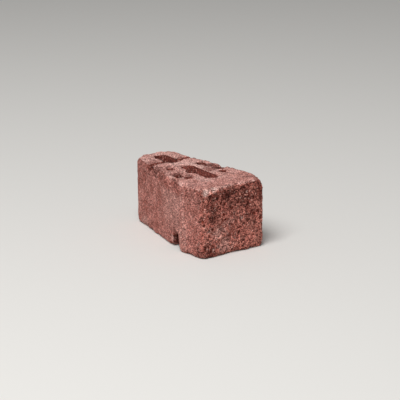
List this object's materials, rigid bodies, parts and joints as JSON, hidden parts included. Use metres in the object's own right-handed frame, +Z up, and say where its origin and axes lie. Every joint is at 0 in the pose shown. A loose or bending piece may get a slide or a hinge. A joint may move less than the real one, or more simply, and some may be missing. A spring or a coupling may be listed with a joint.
{
  "type": "retaining wall block",
  "caption": "Tapered concrete wall block with a rough split face, upright cores and pin holes in the top, a pin channel across the underside and a break line near the tail.",
  "frame": {"origin": "centre of the block's bounding box, on the underside", "axes": "+Z up as the block is laid, +Y from the split face back to the tail, +X across the block"},
  "size_m": [0.1754, 0.315, 0.15],
  "materials": {
    "concrete": "dry-cast concrete pigmented brick red, split on the front face and tumbled"
  },
  "bodies": {
    "root": {"block": "concrete"}
  },
  "joints": []
}
